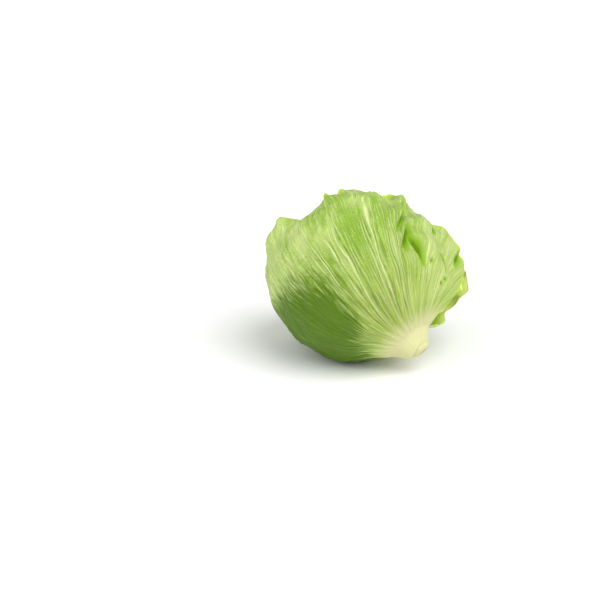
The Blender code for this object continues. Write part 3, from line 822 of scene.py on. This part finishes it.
# Dents as (start, end, width, depth in mm, how much steeper the left side is), start and end as (tilt, turn).
CREASES = (
    ((107.0, 106.0), (85.0, 70.0), 3.4, 4.5, 4.0),
    ((86.5, 86.0), (71.0, 68.5), 3.6, 4.5, 2.5),
    ((78.0, 80.0), (56.5, 76.0), 3.2, 3.5, 1.8),
    ((60.0, 101.5), (50.0, 103.8), 1.9, 2.6, 1.6),
    ((66.0, 128.5), (56.0, 119.5), 1.9, 2.6, 1.6),
    ((80.0, 113.0), (78.5, 110.0), 2.6, 3.0, 1.0),
    ((57.3, 84.5), (56.5, 84.8), 1.6, 1.4, 1.0),
    ((45.4, 101.0), (44.6, 101.5), 1.5, 1.2, 1.0),
    ((42.6, 95.7), (41.8, 95.5), 1.6, 1.6, 1.0),
)


def crease(tilt, turn, start, end, width, steepness):
    """1 along the line between two (tilt, turn), falling off as a bell, which is steeper on its left side."""
    scale = math.sin(math.radians((start[0] + end[0]) / 2))
    away_tilt, away_turn = tilt - start[0], ((turn - start[1] + 180) % 360 - 180) * scale
    run_tilt, run_turn = end[0] - start[0], (end[1] - start[1]) * scale
    length = math.hypot(run_tilt, run_turn)
    share = np.clip((away_tilt * run_tilt + away_turn * run_turn) / length**2, 0, 1)
    away = np.hypot(away_tilt - share * run_tilt, away_turn - share * run_turn)
    left = (away_turn * run_tilt - away_tilt * run_turn) / length > 0
    taper = 0.35 + 0.65 * np.sin(np.pi * np.clip(share * 0.8 + 0.1, 0, 1))
    return bell(away / width * np.where(left, steepness, 1.0)) * taper


def front_relief(tilt, turn, vein):
    """Crumpling of the pleated side, a sum of waves that other waves bend, and a few sharp dents."""
    place_along, place_round = np.radians(tilt), np.radians(turn) * 0.85
    random = np.random.default_rng(CRUMPLED_SEED)
    crumpled = np.zeros_like(tilt)
    for height, count in CRUMPLED_WAVES:
        heading, phase, bend = random.uniform(0, FULL_TURN, 3)
        way = math.cos(heading) * place_along + math.sin(heading) * place_round
        other = math.cos(heading) * place_round - math.sin(heading) * place_along
        bent = CRUMPLED_BEND * np.sin(other * count * 0.7 + bend)
        crumpled += height * MM * np.sin(way * count + bent + phase)
    where = rise(turn, *CRUMPLED_LEFT) * fade(turn, *CRUMPLED_RIGHT)
    where = where * rise(tilt, *CRUMPLED_STARTS) * fade(tilt, *CRUMPLED_ENDS)
    # The dents sink the leaf, and their shape also marks where shade is painted in them.
    crease_shade, sunk = np.zeros_like(tilt), np.zeros_like(tilt)
    for start, end, width, depth, steepness in CREASES:
        shape = crease(tilt, turn, start, end, width, steepness)
        sunk = sunk + depth * MM * shape
        crease_shade = np.maximum(crease_shade, shape)
    # Paler or greener bands along the veins; the two broadest paler ones are painted light on the leaf's sides.
    tissue_band_and_light = np.zeros_like(tilt)
    for middle, width, start, end, strength in BANDS:
        ends = rise(tilt, start, BAND_FADE) * fade(tilt, end - BAND_FADE, BAND_FADE)
        tissue_band_and_light = tissue_band_and_light + strength * bell((vein - middle) / width) * ends
    # A painted shadow over the front leaf's lower left: the low side of its veins between heel and middle,
    # faded at every edge.
    painted_shadow = fade(vein, SHADE_VEIN - SHADE_WIDTH, SHADE_WIDTH) * rise(tilt - vein * 0.25, *SHADE_STARTS)
    painted_shadow = painted_shadow * fade(tilt + np.minimum(vein, 0) * 0.4, *SHADE_ENDS) * rise(vein, *SHADE_LEFT)
    return CRUMPLED * crumpled * where - sunk, {"crease_shade": crease_shade, "tissue_band_and_light": tissue_band_and_light, "painted_shadow": painted_shadow}


# Paler bands of tissue along the veins, greener where the strength is below 0: (vein, width, tilt where it
# starts, tilt where it ends, strength). The two broadest paler ones, at veins 112 and -12, are not tissue but
# painted light on the front leaf's lit right and left sides.
BANDS = (
    (40.0, 2.3, 24.0, 150.0, 0.7),
    (20.0, 7.0, 72.0, 126.0, 0.55),
    (6.0, 4.0, 100.0, 140.0, 0.6),
    (31.0, 3.2, 62.0, 120.0, -0.8),
    (48.0, 3.2, 86.0, 122.0, -0.4),
    (54.0, 3.0, 40.0, 84.0, 0.35),
    (62.0, 3.0, 28.0, 60.0, 0.4),
    (85.0, 5.0, 48.0, 92.0, 0.6),
    (106.0, 8.0, 22.0, 60.0, 0.55),
    (112.0, 24.0, 30.0, 118.0, 0.6),
    (-12.0, 20.0, 86.0, 150.0, 0.45),
    (27.0, 15.0, 82.0, 175.0, -0.6),
)
BAND_FADE = 9.0
# Where the painted shadow over the front leaf's lower left lies, across the veins and down the leaf.
SHADE_VEIN, SHADE_WIDTH = 30.0, 40.0
SHADE_STARTS, SHADE_ENDS, SHADE_LEFT = (28, 34), (70, 48), (-130, 40)
FRONT = dict(OUTLINES["front"], grid=(178, 272), layer=1.0, swell=13.5, heel=3.2, root=6.6, ripples=68,
             flare=((31.0, 5.0, 3.0), (45.0, 6.0, 2.0), (62.0, 6.0, -6.0), (97.0, 4.0, -5.0),
                    (101.0, 11.0, 3.0), (128.0, 16.0, 6.0), (150.0, 8.0, 6.0), (-110.0, 30.0, 4.0)),
             ribs=14, waves=3.0, scallop=0.03, jag=0.006, frill=0.7, veins=0.9, dense=1.3,
             curls=((28.0, 2.0, 6.0), (41.5, 2.5, 4.0)), seed=3, floor=0.0)
front_leaf = wrapper_leaf("front_leaf", FRONT, over=(), pale=0.0, more_relief=front_relief)
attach(front_leaf, "root")
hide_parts("wrapper_leaf_front")


# The table, a plain pale sweep that is not part of the object. It is one flat sheet of four corners, with a
# fine grain in its paint.
FLOOR_HALF = 8.0
FLOOR_PALE = (0.93, 0.93, 0.93)
FLOOR_SHADE = (0.90, 0.90, 0.90)
FLOOR_SCALE = 30.0
floor_finish, floor_wire = new_finish("table_paint")
floor_grain = grain(floor_wire, place_of(floor_wire), FLOOR_SCALE)
floor_colour = blend(FLOOR_PALE, FLOOR_SHADE, floor_grain * 0.5)
floor_roughness = 0.7 + floor_grain * 0.1
floor_depth = 0.05 * MM
finish_surface(floor_finish, floor_colour, floor_roughness, floor_grain, floor_depth, subsurface=0.0)
corners = np.array([[-1, -1, 0], [1, -1, 0], [1, 1, 0], [-1, 1, 0]]) * FLOOR_HALF
table = new_piece("table_top", corners, [(0, 1, 2, 3)], {}, floor_finish)
table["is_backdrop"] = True


# The light. One broad soft lamp far above and to the right lights table and head evenly, a weaker one fills
# from the left front, and a white room surrounds them.
ROOM_STRENGTH = 0.5


def far_lamp(name, heading, above, spread, strength):
    """A far lamp, spread degrees wide, that shines from heading degrees round from the camera's side.

    above is how many degrees above the table it stands, and strength how bright it is.
    """
    lamp = bpy.data.lights.new(name, "SUN")
    lamp.angle = math.radians(spread)
    lamp.energy = strength
    holder = bpy.data.objects.new(name, lamp)
    bpy.context.scene.collection.objects.link(holder)
    holder.rotation_euler = (math.radians(90 - above), 0, math.radians(heading))


far_lamp("key_lamp", heading=46.0, above=51.0, spread=55.0, strength=2.4)
far_lamp("fill_lamp", heading=-48.0, above=34.0, spread=70.0, strength=1.05)
room = bpy.data.worlds.new("white_room")
room.use_nodes = True
room.node_tree.nodes["Background"].inputs["Color"].default_value = (1, 1, 1, 1)
room.node_tree.nodes["Background"].inputs["Strength"].default_value = ROOM_STRENGTH
bpy.context.scene.world = room
bpy.context.scene.view_settings.view_transform = "Standard"

boxes = {"cad_box": cad_box, "visual_box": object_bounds()}
boxes = {name: [[float(value) for value in corner] for corner in box] for name, box in boxes.items()}
